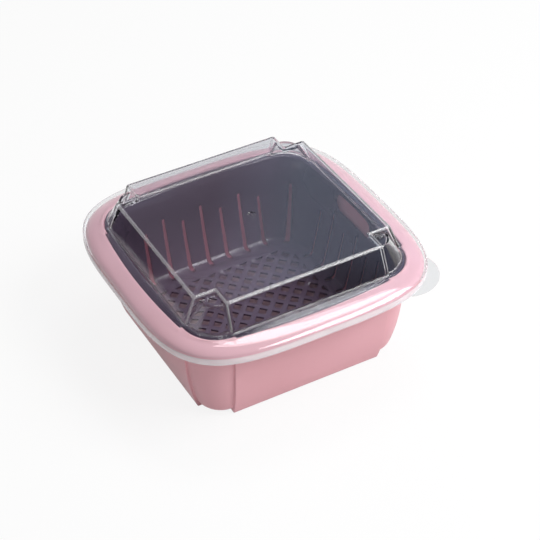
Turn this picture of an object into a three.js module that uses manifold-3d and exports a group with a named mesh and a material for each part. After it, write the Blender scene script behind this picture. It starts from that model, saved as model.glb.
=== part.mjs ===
// A double-layer drain basket: a basin, a perforated basket that hangs in it, and a domed lid.
// Millimetres, +Z up. The origin is the middle of the basin's underside, which stands on the worktop.
import * as THREE from "three";
import { mergeGeometries, mergeVertices } from "three/addons/utils/BufferGeometryUtils.js";
import Module from "manifold-3d";

// Basin: half-widths are measured from the middle to the flat side panels
const BASIN_WALL = 2.2;
const BASIN_FOOT_HALF = 93.3;
const BASIN_TOP_HALF = 105.4;
const BASIN_SWELL = 2.85;
const BASIN_PANEL_FOOT = 71;
const BASIN_PANEL_TOP = 73.9;
const POST_RECESS = 2.3;
const POST_TUCK = 6;
const POST_TUCK_HEIGHT = 9;
const BOW_START_Z = 60;

// Rim of the basin, with the ledge that the basket hangs on
const LEDGE_Z = 91.3;
const LEDGE_WIDTH = 3.2;
const LEDGE_DEPTH = 3.7;
const RIM_BOW = 4.7;
const RIM_PANEL = 72.5;
const RIM_RECESS = 2.2;
const RIM_HALF = 126.7;
const RIM_DEPTH = 10.7;
const RIM_THICKNESS = 2.3;
const CROWN_WIDTH = 20;
const CROWN_HEIGHT = 6.4;
const CROWN_SWEEP = 62;
const EDGE_POWER = 3.87;

// Basket
const BASKET_WALL = 1.9;
const BASKET_FLOOR = 1.8;
const BASKET_FLOOR_Z = 10.8;
const BASKET_FLOOR_BOW = 1.3;
const BASKET_SWELL = 1.5;
const BASKET_FLOOR_CORNER = 24.3;
const BASKET_TOP_CORNER = 29.9;
const FOLD_RADIUS = 1.6;
const FLANGE_THICKNESS = 2.2;

// Openings of the basket
const SLOT_FOOT_WIDTH = 4.4;
const SLOT_TOP_WIDTH = 3.2;
const SLOT_PITCH = 19.3;
const SLOT_BAND = 5.75;
const SLOT_STAGGER = 8;
const SLOT_ON_FLOOR = 8;
const SLOTS_ON_PLAIN_WALL = 7;
const SLOTS_ON_HANDLE_WALL = 6;
const CORNER_SLOT_FOOT_WIDTH = 5;
const CORNER_SLOT_TOP_WIDTH = 3;
const HANDLE_LENGTH = 58;
const HANDLE_HEIGHT = 17.5;
const HANDLE_BAND = 2.05;
const LATTICE_MARGIN_X = 4.5;
const LATTICE_MARGIN_Y = 10.3;
const LATTICE_STEPS_X = 9;
const LATTICE_STEPS_Y = 8;
const LATTICE_BAR = 4.6;

// Lid
const LID_WALL = 2;
const LIP_DEPTH = 11;
const DOME_SETBACK = 3.7;
const DOME_RISE = 0.7;
const DOME_HEIGHT = 24.7;
const DOME_LEAN = 9.5;
const DOME_FOOT_PANEL = 75;
const DOME_TOP_PANEL = 73.9;
const DOME_POST_RECESS = 2.7;
const DOME_FLARE = 1.4;
const SHELF_DROP = 5;
const SHELF_RADIUS = 14.4;
const NOTCH_RADIUS = 0.5;
const EDGE_ROUND = 1.1;
const TAB_RADIUS = 29.5;
const TAB_REACH = 11.3;
const TAB_THICKNESS = 1.6;
const GATE_RADIUS = 3.4;
const GATE_NUB = 1.1;
const GATE_DEPTH = 0.6;

// Clearances between the three pieces
const NEST_GAP = 2.9;
const SEAT_GAP = 0.3;
const FLANGE_GAP = 0.5;
const LIP_GAP = 0.5;

// Fineness of the round stretches, and how far a cutter runs past what it cuts
const PANEL_STEPS = 4;
const PANEL_CROWDING = 0.75;
const CORNER_STEPS = 6;
const CROWN_STEPS = 3;
const SLOT_END_STEPS = 2;
const HANDLE_END_STEPS = 6;
const DISC_SIDES = 28;
const CUT_OVERRUN = 4;

// Sizes that follow from those above
const RIM_OPEN_HALF = BASIN_TOP_HALF - BASIN_WALL + LEDGE_WIDTH;
const RIM_TOP_Z = LEDGE_Z + LEDGE_DEPTH;
const RIM_EDGE_Z = RIM_TOP_Z - RIM_DEPTH;
const CROWN_Z = RIM_TOP_Z - CROWN_HEIGHT;
const NEST_INSET = BASIN_WALL + NEST_GAP + BASKET_WALL;
const BASKET_FLOOR_HALF = BASIN_FOOT_HALF - NEST_INSET;
const BASKET_TOP_HALF = BASIN_TOP_HALF - NEST_INSET;
const SLOT_START = BASKET_FLOOR_HALF - SLOT_ON_FLOOR;
const LATTICE_HALF_X = SLOT_START - LATTICE_MARGIN_X;
const LATTICE_HALF_Y = SLOT_START - LATTICE_MARGIN_Y;
const HANDLE_Z = LEDGE_Z - HANDLE_BAND - HANDLE_HEIGHT / 2;
const SLOT_TOP_LONG = HANDLE_Z - HANDLE_HEIGHT / 2 - SLOT_BAND;
const SLOT_TOP_SHORT = SLOT_TOP_LONG - SLOT_STAGGER;
const LIP_Z = RIM_TOP_Z - LIP_DEPTH;
const LID_LIFT = SEAT_GAP + LID_WALL;
const DOME_FOOT_Z = RIM_TOP_Z + LID_LIFT + DOME_RISE;
const DOME_TOP_Z = DOME_FOOT_Z + DOME_HEIGHT;
const DOME_FOOT_HALF = RIM_OPEN_HALF - DOME_SETBACK;
const DOME_TOP_HALF = DOME_FOOT_HALF - DOME_LEAN;
const DOME_FOOT_POST = DOME_FOOT_HALF - DOME_POST_RECESS - DOME_FOOT_PANEL;

const wasm = await Module();
wasm.setup();

const mix = (from, to, share) => from + (to - from) * share;
const steps = (from, to, count) => Array.from({ length: count + 1 }, (_, i) => mix(from, to, i / count));
const atHeight = (ring, z) => ring.map((point) => point.clone().setZ(z));

// One closed outline, anticlockwise seen from above: four panels that bow out by `bow` in the middle,
// and four round corners of `radius` about (centre, centre). Where the corner stands back from the
// panel's end, a straight step joins them.
function outline({ half, panel, centre = panel, radius, bow = 0, z }) {
  const shares = steps(0, 1, PANEL_STEPS).map((share) => share ** PANEL_CROWDING);
  const start = Math.asin(Math.max(0, panel - centre) / radius);
  const onPanel = (share) => [half + bow * (1 - share * share), panel * share];
  const onCorner = (angle) => [centre + radius * Math.cos(angle), centre + radius * Math.sin(angle)];
  const flip = ([x, y]) => [y, x];
  const stepEnd = [centre + radius * Math.cos(start), panel];
  const quarter = [
    ...shares.map(onPanel),
    stepEnd,
    ...steps(start, Math.PI / 2 - start, CORNER_STEPS).map(onCorner),
    flip(stepEnd),
    ...shares.slice(1).toReversed().map((share) => flip(onPanel(share))),
  ];
  const ring = [];
  for (let side = 0; side < 4; side++) {
    const turn = new THREE.Matrix4().makeRotationZ((side * Math.PI) / 2);
    quarter.forEach(([x, y]) => ring.push(new THREE.Vector3(x, y, z).applyMatrix4(turn)));
  }
  return ring;
}

// The bulging square of the rim and the lip, with a point in line with each point of another outline.
function bulgingSquare(half, z, along) {
  return along.map((point) => {
    const angle = Math.atan2(point.y, point.x);
    const spread = Math.abs(Math.cos(angle)) ** EDGE_POWER + Math.abs(Math.sin(angle)) ** EDGE_POWER;
    const reach = half / spread ** (1 / EDGE_POWER);
    return new THREE.Vector3(reach * Math.cos(angle), reach * Math.sin(angle), z);
  });
}

// A closed solid through a row of outlines, from a face that looks down to a face that looks up.
function loft(rings) {
  const count = rings[0].length;
  const corners = rings.flat().flatMap((point) => [point.x, point.y, point.z]);
  const faces = [];
  for (let r = 0; r + 1 < rings.length; r++) {
    for (let k = 0; k < count; k++) {
      const a = r * count + k;
      const b = r * count + ((k + 1) % count);
      faces.push(a, b, b + count, a, b + count, a + count);
    }
  }
  const last = (rings.length - 1) * count;
  const flat = (ring) => ring.map((point) => new THREE.Vector2(point.x, point.y));
  const fill = (ring) => THREE.ShapeUtils.triangulateShape(flat(ring), []);
  fill(rings[0]).forEach(([a, b, c]) => faces.push(a, c, b));
  fill(rings.at(-1)).forEach(([a, b, c]) => faces.push(last + a, last + b, last + c));
  const geometry = new THREE.BufferGeometry();
  geometry.setAttribute("position", new THREE.Float32BufferAttribute(corners, 3));
  geometry.setIndex(faces);
  return geometry;
}

// A geometry as a solid for cutting and joining; faces that shrank to a line are left out.
function solid(geometry) {
  const bare = geometry.clone();
  bare.deleteAttribute("normal");
  bare.deleteAttribute("uv");
  const merged = mergeVertices(bare);
  const triVerts = [];
  for (let i = 0; i < merged.index.count; i += 3) {
    const [a, b, c] = [0, 1, 2].map((k) => merged.index.getX(i + k));
    if (a !== b && b !== c && c !== a) triVerts.push(a, b, c);
  }
  const vertProperties = merged.getAttribute("position").array;
  const mesh = new wasm.Mesh({ numProp: 3, vertProperties, triVerts: new Uint32Array(triVerts) });
  return new wasm.Manifold(mesh);
}

function geometryOf(body) {
  const mesh = body.getMesh();
  const geometry = new THREE.BufferGeometry();
  geometry.setAttribute("position", new THREE.BufferAttribute(mesh.vertProperties, 3));
  geometry.setIndex(new THREE.BufferAttribute(mesh.triVerts, 1));
  return geometry;
}

function extrude(shape, depth, curveSegments = SLOT_END_STEPS) {
  return new THREE.ExtrudeGeometry(shape, { depth, bevelEnabled: false, curveSegments });
}

function pointsAsShape(ring) {
  return new THREE.Shape(ring.map((point) => new THREE.Vector2(point.x, point.y)));
}

// Basin

// The basin's wall at one height: panels swell outwards as they rise, and the corner posts stand back
// from them and tuck in at the foot. `inset` steps inwards from the outer face.
function basinWall(z, inset = 0) {
  const rise = 1 - (1 - z / LEDGE_Z) ** BASIN_SWELL;
  const half = mix(BASIN_FOOT_HALF, BASIN_TOP_HALF, rise);
  const panel = mix(BASIN_PANEL_FOOT, BASIN_PANEL_TOP, rise);
  const tuck = POST_TUCK * Math.max(0, 1 - z / POST_TUCK_HEIGHT) ** 2;
  const bow = RIM_BOW * Math.max(0, (z - BOW_START_Z) / (LEDGE_Z - BOW_START_Z));
  const radius = half - POST_RECESS - tuck - panel - inset;
  return outline({ half: half - inset, panel: panel - inset, centre: panel, radius, bow, z });
}

// The basin's mouth, and with an inset the edge of what drops into it.
function mouth(z, inset = 0) {
  const radius = RIM_OPEN_HALF - RIM_RECESS - RIM_PANEL - inset;
  const half = RIM_OPEN_HALF - inset;
  return outline({ half, panel: RIM_PANEL - inset, centre: RIM_PANEL, radius, bow: RIM_BOW, z });
}

// Rings of the rounded crown, from its outer edge inwards; `out` and `up` carry it off the basin's rim.
function crown(out = 0, up = 0) {
  const along = mouth(RIM_TOP_Z);
  return steps(0, THREE.MathUtils.degToRad(CROWN_SWEEP), CROWN_STEPS).map((angle) => {
    const half = RIM_HALF + out - CROWN_WIDTH * (1 - Math.cos(angle));
    return bulgingSquare(half, CROWN_Z + up + CROWN_HEIGHT * Math.sin(angle), along);
  });
}

function basinGeometry() {
  const along = mouth(RIM_TOP_Z);
  const outer = [
    ...steps(0, POST_TUCK_HEIGHT, 2),
    ...steps(POST_TUCK_HEIGHT, BOW_START_Z, 3).slice(1),
    ...steps(BOW_START_Z, LEDGE_Z - RIM_THICKNESS, 2).slice(1),
  ];
  const inner = [
    ...steps(LEDGE_Z, BOW_START_Z, 2),
    ...steps(BOW_START_Z, POST_TUCK_HEIGHT, 2).slice(1),
    BASIN_WALL,
  ];
  return loft([
    ...outer.map((z) => basinWall(z)),
    ...crown(-RIM_THICKNESS, -RIM_THICKNESS).reverse().slice(1),
    bulgingSquare(RIM_HALF - RIM_THICKNESS, RIM_EDGE_Z, along),
    bulgingSquare(RIM_HALF, RIM_EDGE_Z, along),
    ...crown(),
    mouth(RIM_TOP_Z, -EDGE_ROUND),
    mouth(RIM_TOP_Z - EDGE_ROUND),
    mouth(LEDGE_Z),
    ...inner.map((z) => basinWall(z, BASIN_WALL)),
  ]);
}

// Basket

// The basket's inner wall at one height; a negative inset gives its outer face.
function basketWall(z, inset = 0) {
  const share = (z - BASKET_FLOOR_Z) / (LEDGE_Z - BASKET_FLOOR_Z);
  const rise = 1 - Math.max(0, 1 - share) ** BASKET_SWELL;
  const half = mix(BASKET_FLOOR_HALF, BASKET_TOP_HALF, rise);
  const radius = mix(BASKET_FLOOR_CORNER, BASKET_TOP_CORNER, rise);
  const bow = mix(BASKET_FLOOR_BOW, RIM_BOW, share);
  return outline({ half: half - inset, panel: half - radius, radius: radius - inset, bow, z });
}

function basketShell() {
  const underside = BASKET_FLOOR_Z - BASKET_FLOOR;
  const flangeUnder = LEDGE_Z + SEAT_GAP;
  const flangeTop = flangeUnder + FLANGE_THICKNESS;
  const walls = steps(BASKET_FLOOR_Z + FOLD_RADIUS, flangeUnder, 3).slice(1, -1);
  return loft([
    atHeight(basketWall(BASKET_FLOOR_Z, FOLD_RADIUS), underside),
    atHeight(basketWall(BASKET_FLOOR_Z, -BASKET_WALL / 2), underside + FOLD_RADIUS / 2),
    basketWall(BASKET_FLOOR_Z + FOLD_RADIUS, -BASKET_WALL),
    ...walls.map((z) => basketWall(z, -BASKET_WALL)),
    basketWall(flangeUnder, -BASKET_WALL),
    mouth(flangeUnder, FLANGE_GAP),
    mouth(flangeTop - EDGE_ROUND / 2, FLANGE_GAP),
    mouth(flangeTop, FLANGE_GAP + EDGE_ROUND / 2),
    atHeight(basketWall(flangeUnder, -EDGE_ROUND), flangeTop),
    atHeight(basketWall(flangeUnder), flangeTop - EDGE_ROUND),
    ...walls.toReversed().map((z) => basketWall(z)),
    basketWall(BASKET_FLOOR_Z + FOLD_RADIUS),
    basketWall(BASKET_FLOOR_Z, FOLD_RADIUS),
  ]);
}

// A slot that starts on the floor, `reach` from the middle, and climbs the wall that faces +Y, where it
// narrows towards the top.
function slotCutter(reach, top, footWidth, topWidth) {
  const lean = BASKET_TOP_HALF - BASKET_FLOOR_HALF + RIM_BOW;
  const end = reach + SLOT_ON_FLOOR + lean + BASKET_WALL + CUT_OVERRUN;
  const low = BASKET_FLOOR_Z - BASKET_FLOOR - CUT_OVERRUN;
  const face = new THREE.Shape();
  face.moveTo(-footWidth / 2, low);
  face.lineTo(footWidth / 2, low);
  face.lineTo(footWidth / 2, BASKET_FLOOR_Z);
  face.absarc(0, top - topWidth / 2, topWidth / 2, 0, Math.PI);
  face.lineTo(-footWidth / 2, BASKET_FLOOR_Z);
  const plan = new THREE.Shape();
  plan.moveTo(footWidth / 2, end);
  plan.lineTo(-footWidth / 2, end);
  plan.absarc(0, reach + footWidth / 2, footWidth / 2, Math.PI, 2 * Math.PI);
  const wallCut = extrude(face, end).rotateX(Math.PI / 2).translate(0, end, 0);
  const floorCut = extrude(plan, top + CUT_OVERRUN - low).translate(0, 0, low);
  return geometryOf(solid(wallCut).intersect(solid(floorCut)));
}

// Slots at an even pitch along a wall, long and short in turn.
function wallSlots(count, turn) {
  return Array.from({ length: count }, (_, i) => {
    const place = (i - (count - 1) / 2) * SLOT_PITCH;
    const top = i % 2 ? SLOT_TOP_LONG : SLOT_TOP_SHORT;
    const slot = slotCutter(SLOT_START, top, SLOT_FOOT_WIDTH, SLOT_TOP_WIDTH);
    return slot.translate(place, 0, 0).rotateZ(turn);
  });
}

function cornerSlot(turn) {
  const middle = (BASKET_FLOOR_HALF - BASKET_FLOOR_CORNER) * Math.SQRT2;
  const reach = middle + BASKET_FLOOR_CORNER - SLOT_ON_FLOOR;
  const slot = slotCutter(reach, SLOT_TOP_LONG, CORNER_SLOT_FOOT_WIDTH, CORNER_SLOT_TOP_WIDTH);
  return slot.rotateZ(turn);
}

// Diamond holes in a slanting lattice; the border cuts the outermost ones to triangles.
function latticeHoles() {
  const stepX = LATTICE_HALF_X / LATTICE_STEPS_X;
  const stepY = LATTICE_HALF_Y / LATTICE_STEPS_Y;
  const barSpacing = (2 * stepX * stepY) / Math.hypot(stepX, stepY);
  const open = 1 - LATTICE_BAR / barSpacing;
  const depth = BASKET_FLOOR + 2 * CUT_OVERRUN;
  const holes = [];
  for (let i = -LATTICE_STEPS_X; i <= LATTICE_STEPS_X; i++) {
    for (let j = -LATTICE_STEPS_Y; j <= LATTICE_STEPS_Y; j++) {
      const atCorner = Math.abs(i) === LATTICE_STEPS_X && Math.abs(j) === LATTICE_STEPS_Y;
      if ((i + j) % 2 === 0 || atCorner) continue;
      const tips = [
        [1, 0],
        [0, 1],
        [-1, 0],
        [0, -1],
      ].filter(([x, y]) => x * i < LATTICE_STEPS_X && y * j < LATTICE_STEPS_Y);
      const corner = ([x, y]) => new THREE.Vector2((i + x * open) * stepX, (j + y * open) * stepY);
      const hole = extrude(new THREE.Shape(tips.map(corner)), depth);
      holes.push(hole.translate(0, 0, BASKET_FLOOR_Z - depth / 2));
    }
  }
  return holes;
}

// One stadium cut right across, for the hand holes in the two walls that face +X and -X.
function handleCutter() {
  const radius = HANDLE_HEIGHT / 2;
  const straight = HANDLE_LENGTH / 2 - radius;
  const shape = new THREE.Shape();
  shape.absarc(straight, 0, radius, -Math.PI / 2, Math.PI / 2);
  shape.absarc(-straight, 0, radius, Math.PI / 2, (3 * Math.PI) / 2);
  const length = 2 * RIM_HALF;
  const cut = extrude(shape, length, HANDLE_END_STEPS).translate(0, 0, -length / 2);
  return cut.rotateX(Math.PI / 2).rotateZ(Math.PI / 2).translate(0, 0, HANDLE_Z);
}

function basketGeometry() {
  const quarter = Math.PI / 2;
  const cutters = [
    ...[0, 2].flatMap((side) => wallSlots(SLOTS_ON_PLAIN_WALL, side * quarter)),
    ...[1, 3].flatMap((side) => wallSlots(SLOTS_ON_HANDLE_WALL, side * quarter)),
    ...[0.5, 1.5, 2.5, 3.5].map((side) => cornerSlot(side * quarter)),
  ];
  const slots = solid(mergeGeometries(cutters));
  const holes = solid(mergeGeometries(latticeHoles()));
  const cut = solid(basketShell()).subtract(slots).subtract(holes).subtract(solid(handleCutter()));
  return geometryOf(cut);
}

// Lid

// The dome at one height; above the shelf its corners are square notches, and below it round posts.
function dome(z, post, inset = 0, centreInset = 0) {
  const share = (z - DOME_FOOT_Z) / (DOME_TOP_Z - DOME_FOOT_Z);
  const half = mix(DOME_FOOT_HALF, DOME_TOP_HALF, share) - inset;
  const panel = mix(DOME_FOOT_PANEL, DOME_TOP_PANEL, share);
  return outline({ half, panel: panel - inset, centre: panel - centreInset, radius: post, z });
}

function lidShell() {
  const along = mouth(RIM_TOP_Z);
  const shelfZ = DOME_TOP_Z - SHELF_DROP;
  const shelfUnder = shelfZ - LID_WALL;
  const under = RIM_TOP_Z + SEAT_GAP;
  const ceiling = DOME_TOP_Z - LID_WALL;
  const lipInner = RIM_HALF + LIP_GAP;
  const lipOuter = lipInner + LID_WALL;
  const footPost = DOME_FOOT_POST - LID_WALL;
  return loft([
    atHeight(dome(ceiling, NOTCH_RADIUS, LID_WALL + EDGE_ROUND, LID_WALL), ceiling),
    dome(ceiling - EDGE_ROUND, NOTCH_RADIUS, LID_WALL, LID_WALL),
    dome(shelfUnder, NOTCH_RADIUS, LID_WALL, LID_WALL),
    dome(shelfUnder - EDGE_ROUND / 2, SHELF_RADIUS - LID_WALL, LID_WALL),
    atHeight(dome(DOME_FOOT_Z, footPost, LID_WALL), DOME_FOOT_Z - EDGE_ROUND),
    atHeight(dome(DOME_FOOT_Z, footPost + DOME_FLARE, LID_WALL - DOME_FLARE), under),
    mouth(under),
    ...crown(LIP_GAP, SEAT_GAP).reverse(),
    bulgingSquare(lipInner, LIP_Z, along),
    bulgingSquare(lipOuter, LIP_Z, along),
    ...crown(LIP_GAP + LID_WALL, LID_LIFT),
    atHeight(dome(DOME_FOOT_Z, DOME_FOOT_POST + DOME_FLARE, -DOME_FLARE), under + LID_WALL),
    dome(DOME_FOOT_Z, DOME_FOOT_POST),
    dome(shelfZ - EDGE_ROUND, SHELF_RADIUS + EDGE_ROUND / 2),
    dome(shelfZ, SHELF_RADIUS - EDGE_ROUND / 2),
    dome(shelfZ, NOTCH_RADIUS),
    dome(DOME_TOP_Z - EDGE_ROUND, NOTCH_RADIUS),
    atHeight(dome(DOME_TOP_Z, NOTCH_RADIUS, EDGE_ROUND, EDGE_ROUND), DOME_TOP_Z),
  ]);
}

// The pull tab: a round flap on the lip at the corner that faces +X and -Y.
function pullTab() {
  const lipHalf = RIM_HALF + LIP_GAP + LID_WALL;
  const cornerReach = (lipHalf / 2 ** (1 / EDGE_POWER)) * Math.SQRT2;
  const middle = (cornerReach + TAB_REACH - TAB_RADIUS) / Math.SQRT2;
  const disc = new THREE.CylinderGeometry(TAB_RADIUS, TAB_RADIUS, TAB_THICKNESS, DISC_SIDES);
  disc.rotateX(Math.PI / 2).translate(middle, -middle, LIP_Z + TAB_THICKNESS / 2);
  const inside = bulgingSquare(lipHalf - LID_WALL / 2, 0, mouth(RIM_TOP_Z));
  const keepOut = extrude(pointsAsShape(inside), DOME_TOP_Z);
  return solid(disc).subtract(solid(keepOut));
}

// The moulding mark in the middle of the lid: a shallow ring round a small nub, below the top face.
function gateMark() {
  const profile = [
    [GATE_NUB, -GATE_DEPTH],
    [GATE_RADIUS - GATE_DEPTH, -GATE_DEPTH],
    [GATE_RADIUS, 0],
    [GATE_RADIUS, GATE_DEPTH],
    [GATE_NUB / 2, GATE_DEPTH],
    [GATE_NUB / 2, -GATE_DEPTH / 3],
    [GATE_NUB, -GATE_DEPTH],
  ].map(([x, y]) => new THREE.Vector2(x, y));
  const ring = new THREE.LatheGeometry(profile, DISC_SIDES / 2);
  return solid(ring.rotateX(Math.PI / 2).translate(0, 0, DOME_TOP_Z));
}

function lidGeometry() {
  return geometryOf(solid(lidShell()).add(pullTab()).subtract(gateMark()));
}

// The set, stacked as it stands in use
const basinPlastic = new THREE.MeshStandardMaterial({ color: 0xd9a3ab, roughness: 0.55, metalness: 0 });
const basketPlastic = new THREE.MeshStandardMaterial({
  color: 0x5b4f63,
  roughness: 0.15,
  metalness: 0,
  transparent: true,
  opacity: 0.85,
});
const lidPlastic = new THREE.MeshStandardMaterial({
  color: 0xf2f4f6,
  roughness: 0.05,
  metalness: 0,
  transparent: true,
  opacity: 0.25,
});

function piece(name, geometry, material) {
  const mesh = new THREE.Mesh(geometry, material);
  mesh.name = name;
  return mesh;
}

const drainBasketSet = new THREE.Group();
drainBasketSet.add(piece("outer_basin", geometryOf(solid(basinGeometry())), basinPlastic));
drainBasketSet.add(piece("drain_basket", basketGeometry(), basketPlastic));
drainBasketSet.add(piece("clear_lid", lidGeometry(), lidPlastic));

export default drainBasketSet;
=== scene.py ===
"""Looks of a drain basket set: an opaque basin, a smoky slotted basket and a clear domed lid."""
import math

import bmesh
import bpy
from mathutils import Matrix, Vector


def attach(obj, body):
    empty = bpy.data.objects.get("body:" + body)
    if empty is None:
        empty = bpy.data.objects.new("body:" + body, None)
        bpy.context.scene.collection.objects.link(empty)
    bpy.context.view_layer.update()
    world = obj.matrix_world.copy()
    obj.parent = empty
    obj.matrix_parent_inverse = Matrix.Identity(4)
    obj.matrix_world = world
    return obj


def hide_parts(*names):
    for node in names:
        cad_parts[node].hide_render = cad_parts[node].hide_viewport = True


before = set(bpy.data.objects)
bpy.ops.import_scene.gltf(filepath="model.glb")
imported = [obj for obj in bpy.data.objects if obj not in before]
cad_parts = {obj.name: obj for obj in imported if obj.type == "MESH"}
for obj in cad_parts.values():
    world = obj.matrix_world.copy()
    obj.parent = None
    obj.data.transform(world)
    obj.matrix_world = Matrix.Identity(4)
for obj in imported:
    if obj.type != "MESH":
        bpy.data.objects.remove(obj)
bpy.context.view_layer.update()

# Sizes of the moulded forms, in millimetres
MM = 0.001
LEDGE_Z = 91.3
RIM_TOP_Z = 95.0
RIM_HALF = 126.7
RIM_EDGE_Z = 84.3
RIM_THICKNESS = 2.3
RIM_OPEN_HALF = 106.4
RIM_BOW = 4.7
RIM_PANEL = 72.5
RIM_RECESS = 2.2
CROWN_WIDTH = 20.0
CROWN_HEIGHT = 6.4
CROWN_SWEEP = math.radians(62)
EDGE_POWER = 3.87
BASIN_WALL = 2.2
BASIN_FOOT_HALF = 93.3
BASIN_TOP_HALF = 105.4
BASIN_FOOT_PANEL = 71.0
BASIN_TOP_PANEL = 73.9
WALL_CURVE = 2.85
BOW_START_Z = 60.0
POST_RECESS = 2.3
POST_TUCK = 6.0
POST_TUCK_HEIGHT = 9.0
LID_WALL = 2.0
LIP_Z = 84.0
LIP_GAP = 0.5
SEAT_GAP = 0.3
DOME_FOOT_Z = 98.0
DOME_TOP_Z = 122.7
DOME_FOOT_HALF = 102.7
DOME_TOP_HALF = 93.2
DOME_FOOT_PANEL = 75.0
DOME_TOP_PANEL = 73.9
DOME_FOOT_POST = 25.0
SHELF_RADIUS = 14.4
SHELF_Z = 117.7
NOTCH_RADIUS = 0.5
DOME_EDGE = 1.6
TAB_RADIUS = 29.5
TAB_REACH = 11.3
TAB_THICKNESS = 1.6
EDGE_BAND = 5.0

# Fineness and edge rounding
PANEL_STEPS = 9
FILLET_STEPS = 4
CORNER_STEPS = 9
CROWN_STEPS = 9
FILLET = 0.7
SUPPORT = 0.8
FOOT_EDGE = 0.8
SOFT_EDGE = 1.1
TOP_EDGE = 1.8
FOOT_FLARE = 1.4
QUARTER = math.pi / 2


def mix(start, end, share):
    return start + (end - start) * share


def spread(start, end, count):
    return [mix(start, end, i / count) for i in range(count + 1)]


def outline(half, panel, post, centre=None, bow=0.0, edge=0.0):
    """A closed outline from above: bowed panels, round corners, and rounded steps between them."""
    centre = panel if centre is None else centre
    reach = centre + post
    fillet = max(0.0, min(FILLET, (half - reach) / 2, post / 2))
    edge = max(fillet, min(edge, (half - reach) * 0.6))
    support = min(SUPPORT, max(0.0, half - reach - fillet - edge) / 3)
    along = spread(0, panel - edge - SUPPORT, PANEL_STEPS) + [panel - edge]
    eighth = [(half + bow * (1 - (y / panel) ** 2), y) for y in along]
    for angle in spread(0, QUARTER, FILLET_STEPS):
        eighth.append((half - edge * (1 - math.cos(angle)), panel - edge * (1 - math.sin(angle))))
    eighth.append((half - edge - support, panel))
    eighth.append((reach + fillet + support, panel))
    for angle in spread(0, QUARTER, FILLET_STEPS):
        eighth.append((reach + fillet * (1 - math.sin(angle)), panel + fillet * (1 - math.cos(angle))))
    start = math.asin(min(0.7, max(0.0, (panel + fillet - centre) / post)))
    for angle in spread(start, QUARTER / 2, CORNER_STEPS):
        eighth.append((centre + post * math.cos(angle), centre + post * math.sin(angle)))
    quarter = eighth + [(y, x) for x, y in reversed(eighth[1:-1])]
    turns = ((1, 0), (0, 1), (-1, 0), (0, -1))
    return [(c * x - s * y, s * x + c * y) for c, s in turns for x, y in quarter]


def bulging(half, along):
    """The bulging square of the rim and lip, with a point in line with each point of another outline."""
    ring = []
    for x, y in along:
        angle = math.atan2(y, x)
        c, s = math.cos(angle), math.sin(angle)
        reach = half / (abs(c) ** EDGE_POWER + abs(s) ** EDGE_POWER) ** (1 / EDGE_POWER)
        ring.append((reach * c, reach * s))
    return ring


def mouth(inset=0.0):
    radius = RIM_OPEN_HALF - RIM_RECESS - RIM_PANEL - inset
    return outline(RIM_OPEN_HALF - inset, RIM_PANEL - inset, radius, RIM_PANEL, RIM_BOW)


MOUTH = mouth()


def crown(out=0.0, up=0.0):
    """Rings of the rounded crown, from its outer edge inwards."""
    rings = []
    for angle in spread(0, CROWN_SWEEP, CROWN_STEPS):
        half = RIM_HALF + out - CROWN_WIDTH * (1 - math.cos(angle))
        z = RIM_TOP_Z - CROWN_HEIGHT * (1 - math.sin(angle)) + up
        rings.append((bulging(half, MOUTH), z))
    return rings


def loft(mesh, rings):
    """Adds a closed solid through outlines, from a face that looks down to a face that looks up."""
    rows = [[mesh.verts.new((x * MM, y * MM, z * MM)) for x, y in ring] for ring, z in rings]
    for low, high in zip(rows, rows[1:]):
        for k in range(len(low)):
            n = (k + 1) % len(low)
            mesh.faces.new((low[k], low[n], high[n], high[k]))
    mesh.faces.new(rows[0][::-1])
    mesh.faces.new(rows[-1])


def finished(mesh, name, body, node, slot, *mats):
    """Turns a bmesh into a smooth piece that stands for one CAD node."""
    bmesh.ops.remove_doubles(mesh, verts=mesh.verts, dist=2e-6)
    bmesh.ops.dissolve_degenerate(mesh, edges=mesh.edges, dist=2e-6)
    data = bpy.data.meshes.new(name)
    mesh.to_mesh(data)
    mesh.free()
    data.shade_smooth()
    data.set_sharp_from_angle(angle=math.radians(38))
    for mat in mats:
        data.materials.append(mat)
    piece = bpy.data.objects.new(name, data)
    bpy.context.scene.collection.objects.link(piece)
    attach(piece, body)
    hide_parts(node)
    return piece


# Basin
def basin_wall(z, inset=0.0):
    rise = 1 - (1 - z / LEDGE_Z) ** WALL_CURVE
    half = mix(BASIN_FOOT_HALF, BASIN_TOP_HALF, rise)
    panel = mix(BASIN_FOOT_PANEL, BASIN_TOP_PANEL, rise)
    tuck = POST_TUCK * max(0.0, 1 - z / POST_TUCK_HEIGHT) ** 2
    bow = RIM_BOW * max(0.0, (z - BOW_START_Z) / (LEDGE_Z - BOW_START_Z))
    return outline(half - inset, panel - inset, half - POST_RECESS - tuck - panel - inset, panel, bow)


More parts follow.
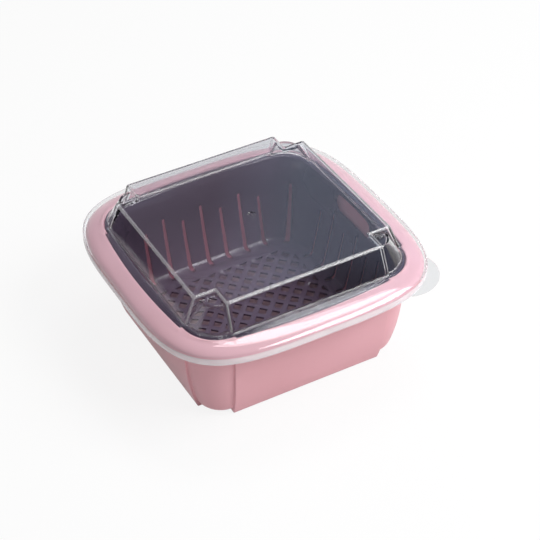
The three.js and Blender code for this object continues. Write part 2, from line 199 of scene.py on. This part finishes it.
def basin_mesh():
    foot = [(basin_wall(z, FOOT_EDGE - z), z) for z in (0.0, 0.25, FOOT_EDGE)]
    heights = spread(FOOT_EDGE, POST_TUCK_HEIGHT, 7)[1:]
    heights += spread(POST_TUCK_HEIGHT, BOW_START_Z, 9)[1:]
    heights += spread(BOW_START_Z, LEDGE_Z - RIM_THICKNESS, 6)[1:]
    rim_under = [
        *crown(-RIM_THICKNESS, -RIM_THICKNESS)[::-1][2:],
        (bulging(RIM_HALF - RIM_THICKNESS, MOUTH), RIM_EDGE_Z + FILLET),
        (bulging(RIM_HALF - RIM_THICKNESS + FILLET, MOUTH), RIM_EDGE_Z),
        (bulging(RIM_HALF - FILLET, MOUTH), RIM_EDGE_Z),
        (bulging(RIM_HALF, MOUTH), RIM_EDGE_Z + FILLET),
    ]
    turn_in = [
        (mouth(-SOFT_EDGE * (1 - math.sin(a))), RIM_TOP_Z - SOFT_EDGE * (1 - math.cos(a)))
        for a in spread(0, QUARTER, FILLET_STEPS)
    ]
    down = spread(LEDGE_Z - 0.6, BOW_START_Z, 6)
    down += spread(BOW_START_Z, POST_TUCK_HEIGHT, 9)[1:]
    down += spread(POST_TUCK_HEIGHT, BASIN_WALL + 1, 5)[1:]
    mesh = bmesh.new()
    loft(mesh, [
        (basin_wall(0, 2 * FOOT_EDGE), 0.0),
        *foot,
        *((basin_wall(z), z) for z in heights),
        *rim_under,
        *crown(),
        (mouth(-2 * SOFT_EDGE), RIM_TOP_Z - 0.02),
        *turn_in,
        (mouth(), LEDGE_Z),
        (basin_wall(LEDGE_Z, BASIN_WALL - 0.6), LEDGE_Z),
        *((basin_wall(z, BASIN_WALL), z) for z in down),
        (basin_wall(BASIN_WALL, BASIN_WALL + 1), BASIN_WALL),
    ])
    return mesh


# Lid
def dome_at(z):
    """Half the dome's width, and half the width of its panels between the notches."""
    share = (z - DOME_FOOT_Z) / (DOME_TOP_Z - DOME_FOOT_Z)
    return mix(DOME_FOOT_HALF, DOME_TOP_HALF, share), mix(DOME_FOOT_PANEL, DOME_TOP_PANEL, share)


def dome(z, post, inset=0.0, centre_inset=0.0):
    half, panel = dome_at(z)
    return outline(half - inset, panel - inset, post, panel - centre_inset, edge=DOME_EDGE)


def post_at(z):
    share = (z - DOME_FOOT_Z) / (SHELF_Z - SOFT_EDGE - DOME_FOOT_Z)
    return mix(DOME_FOOT_POST, SHELF_RADIUS + SOFT_EDGE / 2, share)


def lid_under():
    """Rings of the lid's underside, from the ceiling out to the lip."""
    ceiling = DOME_TOP_Z - LID_WALL
    shelf = SHELF_Z - LID_WALL
    flange = RIM_TOP_Z + SEAT_GAP
    rings = [(dome(ceiling, NOTCH_RADIUS, LID_WALL + TOP_EDGE, LID_WALL + TOP_EDGE), ceiling)]
    for angle in spread(QUARTER, 0, FILLET_STEPS):
        inset = LID_WALL + SOFT_EDGE * (1 - math.cos(angle))
        z = ceiling - SOFT_EDGE * (1 - math.sin(angle))
        rings.append((dome(z, NOTCH_RADIUS, inset, inset), z))
    for z in (ceiling - TOP_EDGE, shelf + 0.6, shelf):
        rings.append((dome(z, NOTCH_RADIUS, LID_WALL, LID_WALL), z))
    rings.append((dome(shelf, SHELF_RADIUS - LID_WALL - 1.4, LID_WALL), shelf))
    for angle in spread(QUARTER, 0, FILLET_STEPS):
        z = shelf - 0.9 * (1 - math.sin(angle))
        post = SHELF_RADIUS - LID_WALL + 0.5 - 0.9 * (1 - math.cos(angle))
        rings.append((dome(z, post, LID_WALL), z))
    top_post = SHELF_RADIUS - LID_WALL + 0.5
    for z in spread(shelf - 1.6, DOME_FOOT_Z - 0.6, 4):
        share = (shelf - 0.9 - z) / (shelf - 0.9 - DOME_FOOT_Z)
        rings.append((dome(z, mix(top_post, DOME_FOOT_POST - LID_WALL, share), LID_WALL), z))
    for angle in spread(0, QUARTER, FILLET_STEPS):
        flare = FOOT_FLARE * (1 - math.cos(angle))
        z = flange + (DOME_FOOT_Z - SOFT_EDGE - flange) * (1 - math.sin(angle))
        rings.append((dome(DOME_FOOT_Z, DOME_FOOT_POST - LID_WALL + flare, LID_WALL - flare), z))
    rings.append((mouth(), flange))
    return rings + crown(LIP_GAP, SEAT_GAP)[::-1]


def lid_over():
    """Rings of the lid's upper side, from the lip in to the moulding mark in the middle."""
    flange = RIM_TOP_Z + SEAT_GAP + LID_WALL
    rings = crown(LIP_GAP + LID_WALL, SEAT_GAP + LID_WALL)
    rings.append((dome(DOME_FOOT_Z, DOME_FOOT_POST + 2.4, -2.4), flange - 0.04))
    for angle in spread(0, QUARTER, FILLET_STEPS):
        flare = FOOT_FLARE * (1 - math.sin(angle))
        z = flange + FOOT_FLARE * (1 - math.cos(angle))
        rings.append((dome(z, post_at(z) + flare, -flare), z))
    for z in spread(flange + 2.2, SHELF_Z - 1.9, 4):
        rings.append((dome(z, post_at(z)), z))
    for angle in spread(0, QUARTER, FILLET_STEPS):
        z = SHELF_Z - SOFT_EDGE * (1 - math.sin(angle))
        post = SHELF_RADIUS + SOFT_EDGE / 2 - SOFT_EDGE * (1 - math.cos(angle))
        rings.append((dome(z, post), z))
    rings.append((dome(SHELF_Z, SHELF_RADIUS - 1.3), SHELF_Z))
    rings.append((dome(SHELF_Z, NOTCH_RADIUS + 1.4), SHELF_Z))
    for angle in spread(0, QUARTER, FILLET_STEPS):
        z = SHELF_Z + FILLET * (1 - math.cos(angle))
        rings.append((dome(z, NOTCH_RADIUS + FILLET * (1 - math.sin(angle))), z))
    for z in (SHELF_Z + 1.5, DOME_TOP_Z - 2.5):
        rings.append((dome(z, NOTCH_RADIUS), z))
    for angle in spread(0, QUARTER, FILLET_STEPS + 2):
        inset = TOP_EDGE * (1 - math.cos(angle))
        z = DOME_TOP_Z - TOP_EDGE * (1 - math.sin(angle))
        rings.append((dome(z, NOTCH_RADIUS, inset, inset), z))
    last = dome(DOME_TOP_Z, NOTCH_RADIUS, TOP_EDGE + SUPPORT, TOP_EDGE + SUPPORT)
    rings.append((last, DOME_TOP_Z))
    for radius, drop in ((4.2, 0), (3.4, 0), (3.1, 0.3), (2.8, 0.6), (1.1, 0.6), (0.8, 0.25), (0.5, 0.2)):
        circle = [(radius * x / math.hypot(x, y), radius * y / math.hypot(x, y)) for x, y in last]
        rings.append((circle, DOME_TOP_Z - drop))
    return rings


def tab_outline(inset):
    """The pull tab from above: a round flap at the +X, -Y corner, cut off along the lip."""
    lip = RIM_HALF + LIP_GAP + LID_WALL
    corner = lip / 2 ** (1 / EDGE_POWER) * math.sqrt(2)
    middle = corner + TAB_REACH - TAB_RADIUS
    radius = TAB_RADIUS - inset

    def on_tab(angle):
        x, y = middle + radius * math.cos(angle), radius * math.sin(angle)
        return ((x + y) / math.sqrt(2), (y - x) / math.sqrt(2))

    def outside(angle):
        x, y = on_tab(angle)
        return abs(x) ** EDGE_POWER + abs(y) ** EDGE_POWER > lip ** EDGE_POWER

    low, high = 0.0, math.pi
    for _ in range(40):
        half = (low + high) / 2
        low, high = (half, high) if outside(half) else (low, half)
    flap = [on_tab(angle) for angle in spread(-low, low, 48)]
    ends = [math.atan2(flap[i][1], flap[i][0]) for i in (-1, 0)]
    straight = [(math.cos(angle), math.sin(angle)) for angle in spread(ends[0], ends[1], 24)]
    return flap + bulging(lip - 0.05, straight)[1:-1]


def lid_mesh():
    lip = RIM_HALF + LIP_GAP
    turn = [
        (bulging(lip, MOUTH), LIP_Z + FILLET),
        (bulging(lip + FILLET * 0.3, MOUTH), LIP_Z + FILLET * 0.3),
        (bulging(lip + FILLET, MOUTH), LIP_Z),
        (bulging(lip + LID_WALL - FILLET, MOUTH), LIP_Z),
        (bulging(lip + LID_WALL - FILLET * 0.3, MOUTH), LIP_Z + FILLET * 0.3),
        (bulging(lip + LID_WALL, MOUTH), LIP_Z + FILLET),
    ]
    mesh = bmesh.new()
    loft(mesh, lid_under() + turn + lid_over())
    top = LIP_Z + TAB_THICKNESS
    sides = [(0.9, LIP_Z), (0.5, LIP_Z), (0.15, LIP_Z + 0.15), (0, LIP_Z + 0.5)]
    sides += [(0, top - 0.5), (0.15, top - 0.15), (0.5, top), (0.9, top)]
    loft(mesh, [(tab_outline(inset), z) for inset, z in sides])
    return mesh


# Materials
def new_material(name):
    mat = bpy.data.materials.new(name)
    mat.use_nodes = True
    mat.node_tree.nodes.clear()
    return mat, mat.node_tree.nodes, mat.node_tree.links


def noise(nodes, links, scale, detail=2.0):
    place = nodes.new("ShaderNodeTexCoord")
    texture = nodes.new("ShaderNodeTexNoise")
    texture.inputs["Scale"].default_value = scale
    texture.inputs["Detail"].default_value = detail
    links.new(place.outputs["Object"], texture.inputs["Vector"])
    return texture.outputs["Fac"]


def ramp(nodes, links, source, stops):
    ramp_node = nodes.new("ShaderNodeValToRGB")
    ramp_node.color_ramp.elements[0].position, ramp_node.color_ramp.elements[0].color = stops[0]
    ramp_node.color_ramp.elements[1].position, ramp_node.color_ramp.elements[1].color = stops[1]
    links.new(source, ramp_node.inputs["Fac"])
    return ramp_node.outputs["Color"]


def levels(nodes, links, source, low, high):
    level = nodes.new("ShaderNodeMapRange")
    level.inputs["From Min"].default_value = 0.3
    level.inputs["From Max"].default_value = 0.7
    level.inputs["To Min"].default_value = low
    level.inputs["To Max"].default_value = high
    links.new(source, level.inputs["Value"])
    return level.outputs["Result"]


def bump(nodes, links, source, strength, distance):
    node = nodes.new("ShaderNodeBump")
    node.inputs["Strength"].default_value = strength
    node.inputs["Distance"].default_value = distance
    links.new(source, node.inputs["Height"])
    return node.outputs["Normal"]


def basin_material(name, pale, deep):
    mat, nodes, links = new_material(name)
    out = nodes.new("ShaderNodeOutputMaterial")
    shader = nodes.new("ShaderNodeBsdfPrincipled")
    shader.inputs["Specular IOR Level"].default_value = 0.2
    tone = noise(nodes, links, 9.0, 3.0)
    grain = noise(nodes, links, 1400.0, 1.0)
    links.new(ramp(nodes, links, tone, [(0.3, deep), (0.7, pale)]), shader.inputs["Base Color"])
    links.new(levels(nodes, links, grain, 0.40, 0.52), shader.inputs["Roughness"])
    links.new(bump(nodes, links, grain, 0.25, 0.0002), shader.inputs["Normal"])
    links.new(shader.outputs[0], out.inputs["Surface"])
    return mat


def let_light_through(nodes, links, shader, tint, out):
    """Lamps and bounced light pass straight through the plastic; sight and mirror images don't."""
    path = nodes.new("ShaderNodeLightPath")
    either = nodes.new("ShaderNodeMath")
    either.operation = "MAXIMUM"
    clear = nodes.new("ShaderNodeBsdfTransparent")
    clear.inputs["Color"].default_value = tint
    blend = nodes.new("ShaderNodeMixShader")
    links.new(path.outputs["Is Shadow Ray"], either.inputs[0])
    links.new(path.outputs["Is Diffuse Ray"], either.inputs[1])
    links.new(either.outputs[0], blend.inputs["Fac"])
    links.new(shader.outputs[0], blend.inputs[1])
    links.new(clear.outputs[0], blend.inputs[2])
    links.new(blend.outputs[0], out.inputs["Surface"])


def basket_material():
    mat, nodes, links = new_material("basket_smoky_gloss")
    out = nodes.new("ShaderNodeOutputMaterial")
    shader = nodes.new("ShaderNodeBsdfPrincipled")
    shader.inputs["IOR"].default_value = 1.49
    shader.inputs["Alpha"].default_value = 0.9
    wave = noise(nodes, links, 60.0, 1.0)
    # Base colour paler low down and darker higher up, by height: painted light, for the lower walls and
    # floor catching more light; a little noise wavers the border.
    place = nodes.new("ShaderNodeTexCoord")
    split = nodes.new("ShaderNodeSeparateXYZ")
    tone = nodes.new("ShaderNodeMath")
    tone.operation = "MULTIPLY_ADD"
    tone.inputs[1].default_value = 10.0
    links.new(place.outputs["Object"], split.inputs[0])
    links.new(split.outputs["Z"], tone.inputs[0])
    links.new(levels(nodes, links, noise(nodes, links, 14.0, 2.0), -0.06, 0.06), tone.inputs[2])
    pale, deep = (0.115, 0.080, 0.120, 1), (0.058, 0.041, 0.066, 1)
    links.new(ramp(nodes, links, tone.outputs[0], [(0.1, pale), (0.7, deep)]), shader.inputs["Base Color"])
    links.new(levels(nodes, links, wave, 0.10, 0.18), shader.inputs["Roughness"])
    links.new(bump(nodes, links, wave, 0.05, 0.0004), shader.inputs["Normal"])
    let_light_through(nodes, links, shader, (0.55, 0.46, 0.52, 1), out)
    return mat


def lid_material(name, ior, glow):
    """Clear plastic; where glow is above 0, a share of it is white matte, a painted highlight that stands
    for the bright lines on the rounded edges and the lip.
    """
    mat, nodes, links = new_material(name)
    out = nodes.new("ShaderNodeOutputMaterial")
    shader = nodes.new("ShaderNodeBsdfPrincipled")
    shader.inputs["Base Color"].default_value = (0.965, 0.975, 0.985, 1)
    shader.inputs["Transmission Weight"].default_value = 1.0
    shader.inputs["IOR"].default_value = ior
    wave = noise(nodes, links, 45.0, 1.0)
    links.new(levels(nodes, links, wave, 0.012, 0.04), shader.inputs["Roughness"])
    links.new(bump(nodes, links, wave, 0.03, 0.0005), shader.inputs["Normal"])
    # White matte share: painted highlight on the dome's edges and the lip, faint on the tab.
    painted_highlight = nodes.new("ShaderNodeBsdfDiffuse")
    painted_highlight.inputs["Color"].default_value = (0.93, 0.93, 0.95, 1)
    blend = nodes.new("ShaderNodeMixShader")
    links.new(levels(nodes, links, wave, glow * 0.9, glow * 1.1), blend.inputs["Fac"])
    links.new(shader.outputs[0], blend.inputs[1])
    links.new(painted_highlight.outputs[0], blend.inputs[2])
    let_light_through(nodes, links, blend, (0.95, 0.955, 0.96, 1), out)
    return mat


def basin_finish(face):
    """0 on the walls, 1 on the floor inside, 2 on the rim; the floor inside and the rim take darker and
    paler copies of the pink, painted shade and painted light.
    """
    z = face.calc_center_median().z / MM
    if z < 2 * BASIN_WALL and face.normal.z > 0.9:
        return 1
    return 2 if z > RIM_EDGE_Z + EDGE_BAND else 0


def lid_finish(face):
    """0 on the clear dome and flange, 1 on the dome's edges, 2 on the lip, 3 on the tab; the edges and the
    lip carry a painted highlight.
    """
    x, y, z = (abs(part) / MM for part in face.calc_center_median())
    wide, narrow = max(x, y), min(x, y)
    if z < LIP_Z + EDGE_BAND:
        lip = RIM_HALF + LIP_GAP + LID_WALL + 0.1
        return 3 if x ** EDGE_POWER + y ** EDGE_POWER > lip ** EDGE_POWER else 2
    half, panel = dome_at(z)
    on_corner = z > DOME_FOOT_Z + 1 and abs(half - wide) < DOME_EDGE and abs(panel - narrow) < DOME_EDGE
    on_top = DOME_TOP_Z - TOP_EDGE < z < DOME_TOP_Z - 0.01 and narrow + wide > DOME_TOP_PANEL
    return int(on_corner or on_top)


def with_finish(mesh, finish):
    mesh.normal_update()
    for face in mesh.faces:
        face.material_index = finish(face)
    return mesh


finished(
    with_finish(basin_mesh(), basin_finish), "basin_tub", "basin", "outer_basin", "basin",
    basin_material("basin_satin_pink", (0.79, 0.43, 0.475, 1), (0.74, 0.395, 0.435, 1)),
    # The floor inside gets a darker copy of the pink: painted shade, for the shade under the basket.
    basin_material("basin_inner_floor_painted_shade", (0.23, 0.155, 0.175, 1), (0.20, 0.135, 0.15, 1)),
    # The rim gets a paler, greyer copy of the pink: painted light, for the lid's white sheen and the light
    # from above on the rim.
    basin_material("basin_rim_painted_light", (0.79, 0.475, 0.53, 1), (0.75, 0.45, 0.50, 1)),
)
basket_mesh = bmesh.new()
basket_mesh.from_mesh(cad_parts["drain_basket"].data)
finished(basket_mesh, "basket_liner", "basket", "drain_basket", "basket", basket_material())
finished(
    with_finish(lid_mesh(), lid_finish), "lid_dome", "lid", "clear_lid", "lid",
    lid_material("lid_clear", 1.47, 0.0),
    # The edge, lip and tab copies mix in a white matte share: painted highlight.
    lid_material("lid_edge_painted_highlight", 1.47, 0.24),
    lid_material("lid_lip_painted_highlight", 1.47, 0.4),
    lid_material("lid_tab", 1.1, 0.05),
)


# Stage: a white floor that keeps the shadow, soft lamps and the camera
DARK, HAZE, WHITE = (0.03, 0.03, 0.04, 1), (0.36, 0.32, 0.40, 1), (1, 1, 1, 1)
BLUE, DEEP_BLUE = (0.64, 0.72, 0.95, 1), (0.42, 0.48, 0.66, 1)


def not_direct(nodes, links):
    """1 for a ray that a surface mirrored or the lid let through, 0 for any other."""
    path = nodes.new("ShaderNodeLightPath")
    either = nodes.new("ShaderNodeMath")
    either.operation = "MAXIMUM"
    links.new(path.outputs["Is Glossy Ray"], either.inputs[0])
    links.new(path.outputs["Is Transmission Ray"], either.inputs[1])
    return either.outputs[0]


def floor_material():
    mat, nodes, links = new_material("floor_white")
    out = nodes.new("ShaderNodeOutputMaterial")
    matte = nodes.new("ShaderNodeBsdfDiffuse")
    matte.inputs["Color"].default_value = (0.82, 0.82, 0.82, 1)
    glow = nodes.new("ShaderNodeEmission")
    glow.inputs["Color"].default_value = (1, 1, 1, 1)
    glow.inputs["Strength"].default_value = 1.0
    path = nodes.new("ShaderNodeLightPath")
    share = nodes.new("ShaderNodeMath")
    share.operation = "MULTIPLY"
    share.inputs[1].default_value = 0.87
    sight = nodes.new("ShaderNodeMixShader")
    links.new(path.outputs["Is Camera Ray"], share.inputs[0])
    links.new(share.outputs[0], sight.inputs["Fac"])
    links.new(matte.outputs[0], sight.inputs[1])
    links.new(glow.outputs[0], sight.inputs[2])
    # Painted reflection: in mirror images and through the lid only, the floor further off to the left and
    # front turns dark, turning deep blue to the right, so the lid's left and front sides mirror a dark
    # floor; the camera still sees it white.
    place = nodes.new("ShaderNodeTexCoord")
    split = nodes.new("ShaderNodeSeparateXYZ")
    near = nodes.new("ShaderNodeMath")
    near.operation = "MINIMUM"
    image = nodes.new("ShaderNodeEmission")
    links.new(place.outputs["Object"], split.inputs[0])
    for i, (axis, far, close) in enumerate((("X", -0.32, -0.17), ("Y", -0.65, -0.35))):
        span = nodes.new("ShaderNodeMapRange")
        span.inputs["From Min"].default_value = far
        span.inputs["From Max"].default_value = close
        links.new(split.outputs[axis], span.inputs["Value"])
        links.new(span.outputs["Result"], near.inputs[i])
    aside = nodes.new("ShaderNodeMath")
    aside.operation = "MULTIPLY_ADD"
    aside.inputs[1].default_value = 0.41
    links.new(split.outputs["Y"], aside.inputs[0])
    links.new(split.outputs["X"], aside.inputs[2])
    far_off = ramp(nodes, links, aside.outputs[0], [(0.0, DARK), (0.3, DEEP_BLUE)])
    tone = nodes.new("ShaderNodeMix")
    tone.data_type = "RGBA"
    tone.inputs[7].default_value = (0.82, 0.82, 0.82, 1)
    links.new(near.outputs[0], tone.inputs[0])
    links.new(far_off, tone.inputs[6])
    links.new(tone.outputs[2], image.inputs["Color"])
    blend = nodes.new("ShaderNodeMixShader")
    links.new(not_direct(nodes, links), blend.inputs["Fac"])
    links.new(sight.outputs[0], blend.inputs[1])
    links.new(image.outputs[0], blend.inputs[2])
    links.new(blend.outputs[0], out.inputs["Surface"])
    return mat


floor_data = bpy.data.meshes.new("floor")
floor_data.from_pydata([(-6, -6, 0), (6, -6, 0), (6, 6, 0), (-6, 6, 0)], [], [(0, 1, 2, 3)])
floor_data.materials.append(floor_material())
floor = bpy.data.objects.new("floor", floor_data)
floor.location.z = -0.0003
bpy.context.scene.collection.objects.link(floor)

world = bpy.data.worlds.new("studio")
world.use_nodes = True
bpy.context.scene.world = world
w_nodes, w_links = world.node_tree.nodes, world.node_tree.links
w_nodes.clear()
w_out = w_nodes.new("ShaderNodeOutputWorld")
w_fill = w_nodes.new("ShaderNodeBackground")
w_fill.inputs["Color"].default_value = (1, 1, 1, 1)
w_fill.inputs["Strength"].default_value = 0.31
w_white = w_nodes.new("ShaderNodeBackground")
w_white.inputs["Color"].default_value = (1, 1, 1, 1)
w_white.inputs["Strength"].default_value = 1.0
# Mirror images and the lid show a room: white low down, a hazy ceiling that turns pale blue to the right,
# and a dark wall behind the camera that turns blue to the right
w_room = w_nodes.new("ShaderNodeBackground")
w_place = w_nodes.new("ShaderNodeTexCoord")
w_split = w_nodes.new("ShaderNodeSeparateXYZ")
w_links.new(w_place.outputs["Generated"], w_split.inputs[0])


def room_share(first, second, sign, low, high):
    """A share that grows from 0 to 1 as a direction's first part, plus or minus its second, does."""
    total = w_nodes.new("ShaderNodeMath")
    total.operation = "MULTIPLY_ADD"
    total.inputs[1].default_value = sign
    w_links.new(w_split.outputs[second], total.inputs[0])
    w_links.new(w_split.outputs[first], total.inputs[2])
    span = w_nodes.new("ShaderNodeMapRange")
    span.inputs["From Min"].default_value = low
    span.inputs["From Max"].default_value = high
    w_links.new(total.outputs[0], span.inputs["Value"])
    return span.outputs["Result"]


def room_mix(share, second):
    """A colour mix that starts as white."""
    blend = w_nodes.new("ShaderNodeMix")
    blend.data_type = "RGBA"
    blend.inputs[6].default_value = WHITE
    w_links.new(share, blend.inputs[0])
    w_links.new(second, blend.inputs[7])
    return blend


ceiling = ramp(w_nodes, w_links, room_share("X", "Y", -1, -0.37, -0.3), [(0.0, HAZE), (1.0, BLUE)])
behind = ramp(w_nodes, w_links, room_share("X", "Y", 0, 0.32, 0.46), [(0.0, DARK), (1.0, DEEP_BLUE)])
upper = room_mix(room_share("Z", "Y", 0, 0.3, 0.5), ceiling)
room = room_mix(room_share("Z", "Y", -0.5, 0.3, 0.4), behind)
w_links.new(upper.outputs[2], room.inputs[6])
w_links.new(room.outputs[2], w_room.inputs["Color"])
w_blend = w_nodes.new("ShaderNodeMixShader")
w_links.new(not_direct(w_nodes, w_links), w_blend.inputs["Fac"])
w_links.new(w_fill.outputs[0], w_blend.inputs[1])
w_links.new(w_room.outputs[0], w_blend.inputs[2])
w_path = w_nodes.new("ShaderNodeLightPath")
w_final = w_nodes.new("ShaderNodeMixShader")
w_links.new(w_path.outputs["Is Camera Ray"], w_final.inputs["Fac"])
w_links.new(w_blend.outputs[0], w_final.inputs[1])
w_links.new(w_white.outputs[0], w_final.inputs[2])
w_links.new(w_final.outputs[0], w_out.inputs["Surface"])


def lamp(name, place, size, power, aim=(0, 0, 0.06)):
    data = bpy.data.lights.new(name, "AREA")
    data.shape = "RECTANGLE"
    data.size, data.size_y = size
    data.energy = power
    obj = bpy.data.objects.new(name, data)
    obj.location = place
    obj.rotation_mode = "QUATERNION"
    obj.rotation_quaternion = (Vector(aim) - Vector(place)).to_track_quat("-Z", "Y")
    bpy.context.scene.collection.objects.link(obj)


lamp("key", (0.8, -0.75, 1.2), (1.1, 0.8), 23)
lamp("top", (0.6, 0.4, 1.6), (0.9, 0.5), 8)

# The camera is rolled a little, as the photograph is
CAMERA_AIM = Vector((0, 0, 0.06))
CAMERA_DISTANCE = 1.47659
azimuth, elevation, roll = math.radians(-27.64), math.radians(39.1), math.radians(-1.66)
flat = math.cos(elevation)
back = Vector((math.sin(azimuth) * flat, -math.cos(azimuth) * flat, math.sin(elevation)))
level = Vector((math.cos(azimuth), math.sin(azimuth), 0))
rise = back.cross(level)
right = level * math.cos(roll) + rise * math.sin(roll)
up = rise * math.cos(roll) - level * math.sin(roll)
camera_data = bpy.data.cameras.new("camera")
camera_data.sensor_width = 36
camera_data.lens = 112.48
camera_data.shift_x, camera_data.shift_y = 0.0313, 0.0022
camera = bpy.data.objects.new("camera", camera_data)
turned = Matrix((right, up, back)).transposed().to_4x4()
camera.matrix_world = Matrix.Translation(CAMERA_AIM + back * CAMERA_DISTANCE) @ turned
bpy.context.scene.collection.objects.link(camera)
bpy.context.scene.camera = camera
bpy.context.scene.view_settings.view_transform = "Standard"
